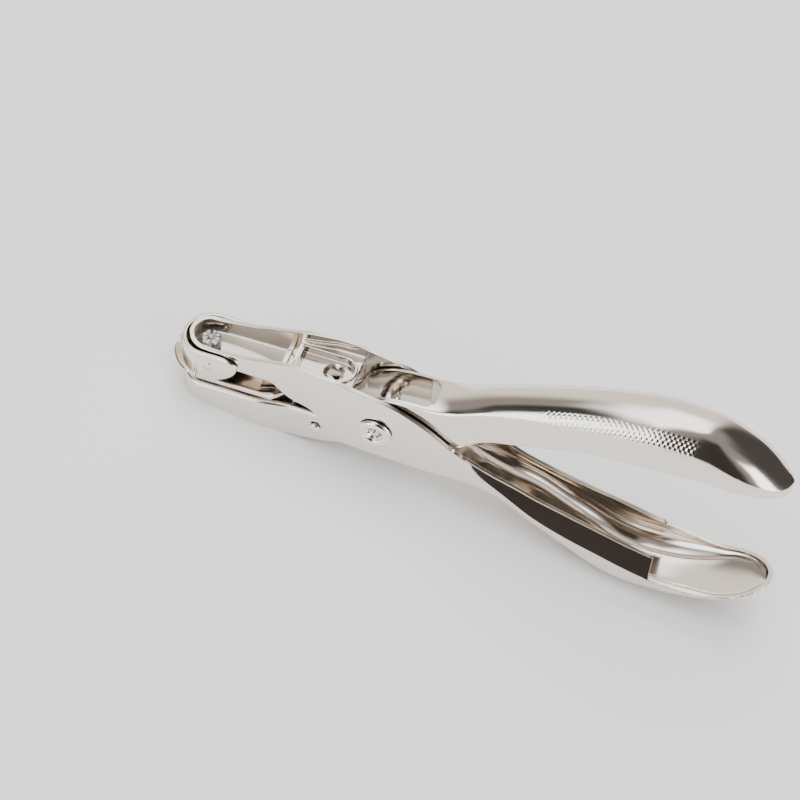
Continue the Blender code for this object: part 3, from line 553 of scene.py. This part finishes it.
def knurl(x, y, width):
    """Height of the diamond knurling at a point of the back."""
    low, high = KNURL_RANGE
    share = abs(y) / width
    if not low < x < high or share < KNURL_INNER:
        return 0.0
    fade = min((x - low) / 1.2, (high - x) / 1.2, (share - KNURL_INNER) / 0.05, 1.0)
    u = (x + abs(y) * 1.15) / KNURL_PITCH
    v = (x - abs(y) * 1.15) / KNURL_PITCH
    ridge = abs(math.sin(math.pi * u)) * abs(math.sin(math.pi * v))
    return KNURL_DEPTH * fade * (ridge - 0.5)


def die_arch(x, width, shoulder, rise, fine):
    """The crowned back from the wall's fillet to the middle, on a circle, with knurling."""
    radius = (width * width + rise * rise) / (2 * rise)
    reach = math.asin(min(width / radius, 1.0))
    if rise > width:
        reach = math.pi - reach
    points = []
    for i in range(ARCH_STEPS + 1):
        a = reach * (1 - 0.995 * i / ARCH_STEPS)
        bump = knurl(x, radius * math.sin(a), width) if fine else 0.0
        points.append(((radius + bump) * math.sin(a),
                       shoulder + rise - radius + (radius + bump) * math.cos(a)))
    return points


def fillet(corner, below, arch):
    """The corner between the wall and the back as a short curve through five points."""
    reach = min(CREASE, 0.4 * (corner[1] - below), 0.3 * corner[0])
    keep = 0
    length = 0.0
    while length < reach and keep < len(arch) - 2:
        length += math.dist(arch[keep], arch[keep + 1])
        keep += 1
    start = (corner[0], corner[1] - reach)
    end = arch[keep]
    curve = []
    for i in range(FILLET_STEPS):
        t = i / FILLET_STEPS
        curve.append(tuple((1 - t) ** 2 * s + 2 * t * (1 - t) * c + t * t * e
                           for s, c, e in zip(start, corner, end)))
    return curve, arch[keep:]


def resample(points, count):
    """The same line with a fixed number of points, evenly spaced along it."""
    steps = np.r_[0.0, np.cumsum([math.dist(a, b) for a, b in zip(points, points[1:])])]
    wanted = np.linspace(0, steps[-1], count)
    return list(zip(np.interp(wanted, steps, [p[0] for p in points]),
                    np.interp(wanted, steps, [p[1] for p in points])))


def die_half_section(x):
    crown = eased(DIE_CROWN, x)
    rise = eased(DIE_CROWN_RISE, x)
    low = min(die_lower_edge(x), crown - rise - 0.2)
    width = die_half_width(x)
    shoulder = crown - rise
    arch = die_arch(x, width, shoulder, rise, True)
    curve, rest = fillet((width, shoulder), low, arch)
    wall = [(width, low + (curve[0][1] - low) * t) for t in (0.0, 0.1, 0.5, 0.9)]
    return wall + curve + resample(rest, ARCH_STEPS + 1)


def die_front_stations():
    """Stations from behind the nose to the top of the climb, closer together on it."""
    low, high = DIE_RAMP
    return stretch(DIE_NOSE_CENTRE + STATION, low) + stretch(low, high, DIE_RAMP_STATION)


def die_stations():
    nose = [2 * DIE_NOSE_CENTRE - x for x in end_stations(DIE_NOSE_CENTRE, DIE_NOSE_RADIUS)]
    low, high = KNURL_RANGE
    body = die_front_stations() + stretch(DIE_RAMP[1], low)
    body += stretch(low, high, KNURL_STATION) + stretch(high, DIE_TAIL_CENTRE)
    return nose, body


def die_outer():
    nose, body = die_stations()
    tail = end_stations(DIE_TAIL_CENTRE, DIE_TAIL_LENGTH)[::-1]
    return loft([(x, both_sides(die_half_section(x))) for x in nose + body + tail])


def die_cavity():
    body = die_front_stations() + stretch(DIE_RAMP[1], DIE_TAIL_CENTRE)
    nose = [2 * DIE_NOSE_CENTRE - x
            for x in end_stations(DIE_NOSE_CENTRE, DIE_NOSE_RADIUS - SHEET)]
    tail = end_stations(DIE_TAIL_CENTRE, DIE_TAIL_LENGTH - SHEET)[::-1]
    stations = [(x, DIE_FACE - SHEET) for x in nose + body if x < DIE_WEB_END]
    stations += [(DIE_WEB_END, DIE_FACE - SHEET), (DIE_WEB_END + STEP, FAR)]
    stations += [(x, FAR) for x in body if DIE_WEB_END + STEP < x < DIE_WEB_START]
    stations += [(DIE_WEB_START, FAR), (DIE_WEB_START + STEP, None)]
    stations += [(x, None) for x in body + tail if x > DIE_WEB_START + STEP]
    sections = []
    for x, top in stations:
        width = die_half_width(x, SHEET)
        rise = 0.4 if top is not None else max(eased(DIE_CROWN_RISE, x) - 0.2 * SHEET, 0.2)
        if top is None:
            top = eased(DIE_CROWN, x) - SHEET
        arch = die_arch(x, width, top - rise, rise, False)
        sections.append((x, both_sides([(width, -FAR)] + arch)))
    return loft(sections)


def web_notch():
    half = die_half_width(DIE_WEB_START, SHEET) - SLIVER
    arc = [(DIE_WEB_START + DIE_WEB_NOTCH * math.cos(a), half * math.sin(a))
           for a in np.linspace(-math.pi / 2, math.pi / 2, 41)]
    return [(DIE_WEB_START - 0.5, -half)] + arc + [(DIE_WEB_START - 0.5, half)]


def rivet_drill(side):
    radius = LUG_RIVET_RADIUS + GAP
    x, z = LUG_RIVET
    y = side * (GUIDE_TONGUE_HALF + SHEET / 2)
    return turned([(0, -2), (radius, -2), (radius, 2), (0, 2)], 32, x, y, z, True)


def make_die_lever(material):
    lever = solid("die_lever_skin", die_outer())
    combine(lever, die_cavity())
    combine(lever, prism(web_notch(), "z", 0.0, FAR))
    combine(lever, drill(BUSH_RADIUS + GAP, HOLE_X, DIE_FACE))
    combine(lever, pivot_drill())
    for side in (-1, 1):
        combine(lever, rivet_drill(side))
    finish(lever, FIXED, "die_lever", material, angle=55.0)


# ---------------------------------------------------------------- guide plate

def guide_nose(inset):
    half = GUIDE_HALF - inset
    return [(GUIDE_NOSE_CENTRE - half * math.sin(a), half * math.cos(a))
            for a in np.linspace(0, math.pi, 62)]


def lip_share(turn):
    """How much of the lip stands at a turn from the middle: low at the ends and at the mark."""
    at_end = max((LIP_TURN - turn) / LIP_TAPER, LIP_LEAST)
    at_mark = LIP_MARK + (1 - LIP_MARK) * turn / LIP_MARK_TURN
    return min(at_end, at_mark, 1.0)


def lip():
    """Lip flared outward around the nose, with a small V that marks the hole's centre line."""
    root, foot, outer, inner, top = LIP_SECTION
    half = list(np.linspace(0.0, LIP_MARK_TURN, 4))[1:]
    half += list(np.linspace(1.2 * LIP_MARK_TURN, LIP_TURN, 34))
    bm = bmesh.new()
    rows = []
    for a in [-t for t in reversed(half)] + [0.0] + half:
        share = lip_share(abs(a))
        edge = [(s + (e - s) * share, t + (f - t) * share)
                for (s, t), (e, f) in ((foot, outer), (top, inner))]
        ring = [root, foot] + edge + [top]
        rows.append([bm.verts.new((HOLE_X - r * math.cos(a), r * math.sin(a), z)) for r, z in ring])
    for a, b in zip(rows, rows[1:]):
        for i in range(len(a)):
            j = (i + 1) % len(a)
            bm.faces.new((a[i], a[j], b[j], b[i]))
    bm.faces.new(rows[0])
    bm.faces.new(list(reversed(rows[-1])))
    return bm


def bell(t):
    """Smooth swell: 1 in the middle and 0 at t = 1, level at both."""
    return math.cos(math.pi * t / 2) ** 2


def bead(side):
    """A dome embossed on an ear, sunk a little into it."""
    sunk = 0.05
    face = GUIDE_HALF - GUIDE_SHEET / 2
    dome = [(BEAD_RADIUS * t, side * (GUIDE_HALF - sunk + (BEAD_RISE + sunk) * bell(t)))
            for t in np.linspace(1, 0, 18)]
    base = [(0, side * face), (BEAD_RADIUS, side * face)]
    return turned(base + dome, 48, BEAD[0], 0.0, BEAD[1], True)


def rounded(points, steps=5):
    """An open line whose corners are cut by short quadratic curves."""
    out = [points[0]]
    for a, b, c in zip(points, points[1:], points[2:]):
        for i in range(steps + 1):
            t = i / steps
            start = [(p + q) / 2 for p, q in zip(a, b)]
            end = [(p + q) / 2 for p, q in zip(b, c)]
            out.append(tuple((1 - t) ** 2 * s + 2 * t * (1 - t) * m + t * t * e
                             for s, m, e in zip(start, b, end)))
    return out + [points[-1]]


def make_guide_plate(material):
    top = GUIDE_UNDERSIDE + GUIDE_THICK
    side = [(GUIDE_WIDE_END, GUIDE_HALF)] + [(x, GUIDE_TONGUE_HALF) for x in GUIDE_TONGUE]
    outline = guide_nose(0)[::-1] + side + [(x, -y) for x, y in reversed(side)]
    plate = solid("guide_plate_skin", prism(outline, "z", GUIDE_UNDERSIDE, 9.0))
    half = GUIDE_HALF - GUIDE_SHEET
    hollow = guide_nose(GUIDE_SHEET) + [(EAR_END + OVER, -half), (EAR_END + OVER, half)]
    combine(plate, prism(hollow, "z", top, FAR))
    above = rounded(EAR_PROFILE) + [(0.0, top), (0.0, FAR), (EAR_PROFILE[0][0], FAR)]
    combine(plate, prism(above, "y", -FAR, FAR))
    combine(plate, lip(), "UNION")
    outer = GUIDE_TONGUE_HALF - SLIVER
    inner = GUIDE_TONGUE_HALF - GUIDE_SHEET
    for hand in (-1, 1):
        low, high = sorted((hand * inner, hand * outer))
        combine(plate, prism(LUG_PROFILE, "y", low, high), "UNION")
        combine(plate, rivet_drill(hand))
        combine(plate, bead(hand), "UNION")
    combine(plate, drill(GUIDE_BORE, HOLE_X, GUIDE_UNDERSIDE))
    combine(plate, drill(LEAF_RIVET_RADIUS + GAP, LEAF_RIVET_X, GUIDE_UNDERSIDE))
    finish(plate, FIXED, "guide_plate", material, rounding=0.1)


# ---------------------------------------------------------------- small pieces

def make_punch_pin(material):
    """Cutting pin whose head is staked with radial cuts, so that it stands up as petals."""
    under = FLOOR_TOP + GAP
    body_top = FLOOR_UNDERSIDE - GAP
    profile = [(0, PIN_TIP + PIN_HOLLOW), (PIN_RADIUS - 0.15, PIN_TIP), (PIN_RADIUS, PIN_TIP + 0.1),
               (PIN_RADIUS, body_top), (PIN_NECK, body_top), (PIN_NECK, under),
               (PIN_HEAD, under), (PIN_HEAD, PIN_HEAD_TOP - PIN_CHAMFER),
               (PIN_HEAD - PIN_CHAMFER, PIN_HEAD_TOP), (0, PIN_HEAD_TOP)]
    pin = solid("punch_pin_staked", turned(profile, x=HOLE_X))
    for i in range(STAR_RAYS):
        groove = prism([(-STAR_HALF, PIN_HEAD_TOP + 0.1), (0.0, PIN_HEAD_TOP - STAR_DEPTH),
                        (STAR_HALF, PIN_HEAD_TOP + 0.1)], "y", -STAR_REACH, STAR_REACH)
        turn = Matrix.Rotation(math.pi * (i + 0.35) / STAR_RAYS, 4, "Z")
        bmesh.ops.transform(groove, matrix=Matrix.Translation((HOLE_X, 0, 0)) @ turn,
                            verts=groove.verts)
        combine(pin, groove)
    finish(pin, MOVING, "punch_pin", material, rounding=0.05)


def make_die_bush(material):
    bottom = DIE_FACE - BUSH_HEIGHT
    profile = [(BUSH_BORE, DIE_FACE), (BUSH_BORE, bottom + 0.8), (BUSH_BORE + 0.3, bottom),
               (BUSH_RADIUS, bottom), (BUSH_RADIUS, DIE_FACE)]
    bush = solid("die_bush_ground", turned(profile, x=HOLE_X))
    finish(bush, FIXED, "die_bush", material, rounding=0.06)


def rolled_flange(face, inner, outward):
    middle = (RIVET_FLANGE + inner) / 2
    reach = (RIVET_FLANGE - inner) / 2
    return [(middle - reach * math.cos(a), face + outward * RIVET_ROLL * math.sin(a))
            for a in np.linspace(0, math.pi, 25)]


def make_pivot_rivet(material):
    seat = PIVOT_HALF + GAP
    bore = POST_RADIUS - 0.75
    post = [(0, -seat + POST_HOLLOW), (bore, -seat + POST_HOLLOW), (bore, -seat + 0.9),
            (bore + 0.5, -seat - 0.1)]
    post += rolled_flange(-seat - 0.1, bore + 0.6, -1)[1:]
    post += [(RIVET_FLANGE, -seat), (POST_RADIUS, -seat), (POST_RADIUS, -0.3),
             (TENON_RADIUS, -0.3), (TENON_RADIUS, TENON_END), (0, TENON_END)]
    near = solid("pivot_post_rolled", turned(post, across=True))
    finish(near, MOVING, "pivot_post", material, rounding=0.05)
    mouth = BARREL_BORE + 0.4
    barrel = [(BARREL_BORE, 0.0), (BARREL_RADIUS, 0.0), (BARREL_RADIUS, seat),
              (RIVET_FLANGE, seat)]
    barrel += rolled_flange(seat + 0.1, mouth, 1)[::-1]
    barrel += [(BARREL_BORE, seat - 0.4)]
    far = solid("pivot_barrel_rolled", turned(barrel, across=True))
    finish(far, MOVING, "pivot_barrel", material, rounding=0.05)


def make_return_leaf(material):
    path = [LEAF_PATH[0]] + rounded(LEAF_PATH[1:])
    upper = [(x, z + LEAF_THICK / 2) for x, z in path]
    lower = [(x, z - LEAF_THICK / 2) for x, z in reversed(path)]
    leaf = solid("return_spring_leaf", prism(upper + lower, "y", -LEAF_HALF, LEAF_HALF))
    combine(leaf, drill(LEAF_RIVET_RADIUS + GAP, LEAF_RIVET_X, LEAF_PATH[0][1]))
    finish(leaf, FIXED, "return_spring", material, rounding=0.06)


def make_spring_rivet(material):
    low = 1.8 + GAP
    profile = [(LEAF_RIVET_BORE, -0.7), (LEAF_RIVET_HEAD, -0.7), (LEAF_RIVET_HEAD, -GAP),
               (LEAF_RIVET_RADIUS, -GAP), (LEAF_RIVET_RADIUS, low), (LEAF_RIVET_HEAD, low),
               (LEAF_RIVET_HEAD - 0.1, low + 0.3), (LEAF_RIVET_BORE + 0.4, low + 0.6),
               (LEAF_RIVET_BORE, low + 0.3)]
    rivet = solid("spring_rivet_hollow", turned(profile[::-1], 64, LEAF_RIVET_X))
    finish(rivet, FIXED, "spring_rivet", material, rounding=0.05)


def make_guide_rivets(material):
    outer = DIE_EAR_HALF + GAP
    inner = GUIDE_TONGUE_HALF - GUIDE_SHEET - GAP
    shank, head = LUG_RIVET_RADIUS, LUG_RIVET_HEAD
    dome = [(head * math.cos(a), outer + 0.1 + 0.5 * math.sin(a))
            for a in np.linspace(0, math.pi / 2, 9)]
    dome[-1] = (0, dome[-1][1])
    profile = [(0, inner - 0.5), (head, inner - 0.5), (head, inner), (shank, inner),
               (shank, outer), (head, outer)] + dome
    x, z = LUG_RIVET
    for name, side in (("near", -1), ("far", 1)):
        shape = turned([(r, side * h) for r, h in profile], 40, x, 0.0, z, True)
        rivet = solid(f"guide_rivet_{name}_domed", shape)
        finish(rivet, FIXED, f"guide_rivet_{name}", material, rounding=0.04)


# ---------------------------------------------------------------- materials

def plated(name, colour, roughness, wear=0.05, streak=0.0):
    """Bright plating: a slightly uneven gloss and tone, and polishing lines."""
    made = bpy.data.materials.new(name)
    made.use_nodes = True
    nodes, links = made.node_tree.nodes, made.node_tree.links
    shader = nodes["Principled BSDF"]
    shader.inputs["Metallic"].default_value = 1.0
    place = nodes.new("ShaderNodeTexCoord")
    cloud = nodes.new("ShaderNodeTexNoise")
    cloud.inputs["Scale"].default_value = 90.0
    cloud.inputs["Detail"].default_value = 4.0
    links.new(place.outputs["Object"], cloud.inputs["Vector"])
    tone = nodes.new("ShaderNodeMix")
    tone.data_type = "RGBA"
    tone.inputs["A"].default_value = (*[c * (1 - wear) for c in colour], 1)
    tone.inputs["B"].default_value = (*[min(c * (1 + wear), 1) for c in colour], 1)
    links.new(cloud.outputs["Fac"], tone.inputs["Factor"])
    links.new(tone.outputs["Result"], shader.inputs["Base Color"])
    gloss = nodes.new("ShaderNodeMapRange")
    gloss.inputs["To Min"].default_value = roughness * 0.7
    gloss.inputs["To Max"].default_value = roughness * 1.4
    links.new(cloud.outputs["Fac"], gloss.inputs["Value"])
    links.new(gloss.outputs["Result"], shader.inputs["Roughness"])
    stretchy = nodes.new("ShaderNodeMapping")
    stretchy.inputs["Scale"].default_value = (60.0, 2200.0, 2200.0)
    links.new(place.outputs["Object"], stretchy.inputs["Vector"])
    lines = nodes.new("ShaderNodeTexNoise")
    lines.inputs["Scale"].default_value = 1.0
    lines.inputs["Detail"].default_value = 3.0
    links.new(stretchy.outputs["Vector"], lines.inputs["Vector"])
    bump = nodes.new("ShaderNodeBump")
    bump.inputs["Strength"].default_value = 0.04 + streak
    bump.inputs["Distance"].default_value = 0.00002
    links.new(lines.outputs["Fac"], bump.inputs["Height"])
    links.new(bump.outputs["Normal"], shader.inputs["Normal"])
    return made


# ---------------------------------------------------------------- studio

def make_camera():
    data = bpy.data.cameras.new("camera")
    data.lens = CAMERA_LENS
    data.sensor_width = CAMERA_SENSOR
    camera = bpy.data.objects.new("camera", data)
    bpy.context.scene.collection.objects.link(camera)
    aim = Vector((-math.sin(CAMERA_AZIMUTH) * math.cos(CAMERA_ELEVATION),
                  math.cos(CAMERA_AZIMUTH) * math.cos(CAMERA_ELEVATION),
                  -math.sin(CAMERA_ELEVATION)))
    turn = aim.to_track_quat("-Z", "Y").to_matrix().to_4x4()
    spin = Matrix.Rotation(CAMERA_ROLL, 4, "Z")
    place = Matrix.Translation((CAMERA_TARGET - aim * CAMERA_DISTANCE) * MM)
    camera.matrix_world = STANCE @ place @ turn @ spin
    bpy.context.scene.camera = camera


def make_fill():
    """Wide overhead light for the pale floor, left out of the metal's reflections."""
    data = bpy.data.lights.new("fill", "AREA")
    data.shape = "DISK"
    data.size = 3.0
    data.energy = FILL_POWER
    lamp = bpy.data.objects.new("fill", data)
    bpy.context.scene.collection.objects.link(lamp)
    lamp.location = (0, 0, 2.0)
    lamp.visible_glossy = False


def make_floor():
    bpy.ops.mesh.primitive_plane_add(size=8.0, location=(0, 0, 0))
    floor = bpy.context.object
    floor.name = "floor"
    paint = bpy.data.materials.new("floor_paint")
    paint.use_nodes = True
    nodes, links = paint.node_tree.nodes, paint.node_tree.links
    shader = nodes["Principled BSDF"]
    shader.inputs["Roughness"].default_value = 0.65
    grain = nodes.new("ShaderNodeTexNoise")
    grain.inputs["Scale"].default_value = 30.0
    tone = nodes.new("ShaderNodeMix")
    tone.data_type = "RGBA"
    tone.inputs["A"].default_value = (0.80, 0.80, 0.805, 1)
    tone.inputs["B"].default_value = (0.83, 0.83, 0.835, 1)
    links.new(grain.outputs["Fac"], tone.inputs["Factor"])
    links.new(tone.outputs["Result"], shader.inputs["Base Color"])
    floor.data.materials.append(paint)


def math_node(tree, operation, *values):
    """A Math node whose inputs are sockets or numbers; returns its output."""
    made = tree.nodes.new("ShaderNodeMath")
    made.operation = operation
    for slot, value in zip(made.inputs, values):
        if isinstance(value, bpy.types.NodeSocket):
            tree.links.new(value, slot)
        else:
            slot.default_value = value
    return made.outputs[0]


def window_of(tree, away, half, fade):
    """1 where the angle away is inside half, easing to 0 over the fade."""
    made = tree.nodes.new("ShaderNodeMapRange")
    made.interpolation_type = "SMOOTHSTEP"
    made.inputs["From Min"].default_value = half + fade
    made.inputs["From Max"].default_value = half - fade
    tree.links.new(away, made.inputs["Value"])
    return made.outputs["Result"]


def make_world():
    """A room of soft panels, painted by azimuth and elevation."""
    world = bpy.data.worlds.new("studio")
    world.use_nodes = True
    tree = world.node_tree
    split = tree.nodes.new("ShaderNodeSeparateXYZ")
    place = tree.nodes.new("ShaderNodeTexCoord")
    tree.links.new(place.outputs["Generated"], split.inputs["Vector"])
    toward = math_node(tree, "MULTIPLY", split.outputs["Y"], -1.0)
    azimuth = math_node(tree, "ARCTAN2", split.outputs["X"], toward)
    azimuth = math_node(tree, "DEGREES", azimuth)
    elevation = math_node(tree, "DEGREES", math_node(tree, "ARCSINE", split.outputs["Z"]))
    tone = tree.nodes.new("ShaderNodeRGB").outputs[0]
    tone.default_value = (*ROOM, 1)
    for turn, half, rise, height, fade, colour in PANELS:
        across = math_node(tree, "SUBTRACT", azimuth, float(turn))
        across = math_node(tree, "ABSOLUTE", math_node(tree, "WRAP", across, 180.0, -180.0))
        up = math_node(tree, "ABSOLUTE", math_node(tree, "SUBTRACT", elevation, float(rise)))
        share = math_node(tree, "MULTIPLY", window_of(tree, across, half, fade),
                          window_of(tree, up, height, fade))
        mix = tree.nodes.new("ShaderNodeMix")
        mix.data_type = "RGBA"
        mix.inputs["B"].default_value = (*colour, 1)
        tree.links.new(share, mix.inputs["Factor"])
        tree.links.new(tone, mix.inputs["A"])
        tone = mix.outputs["Result"]
    tree.links.new(tone, tree.nodes["Background"].inputs["Color"])
    bpy.context.scene.world = world


def main():
    nickel = plated("nickel_plate", (0.83, 0.77, 0.705), 0.11)
    rivet = plated("rivet_plate", (0.86, 0.83, 0.79), 0.11)
    ground = plated("ground_steel", (0.62, 0.61, 0.60), 0.2, streak=0.1)
    spring = plated("spring_strip", (0.74, 0.71, 0.66), 0.16, streak=0.1)
    make_punch_lever(nickel)
    make_die_lever(nickel)
    make_guide_plate(nickel)
    make_punch_pin(ground)
    make_die_bush(ground)
    make_pivot_rivet(rivet)
    make_return_leaf(spring)
    make_spring_rivet(rivet)
    make_guide_rivets(rivet)
    make_camera()
    make_floor()
    make_world()
    make_fill()


main()
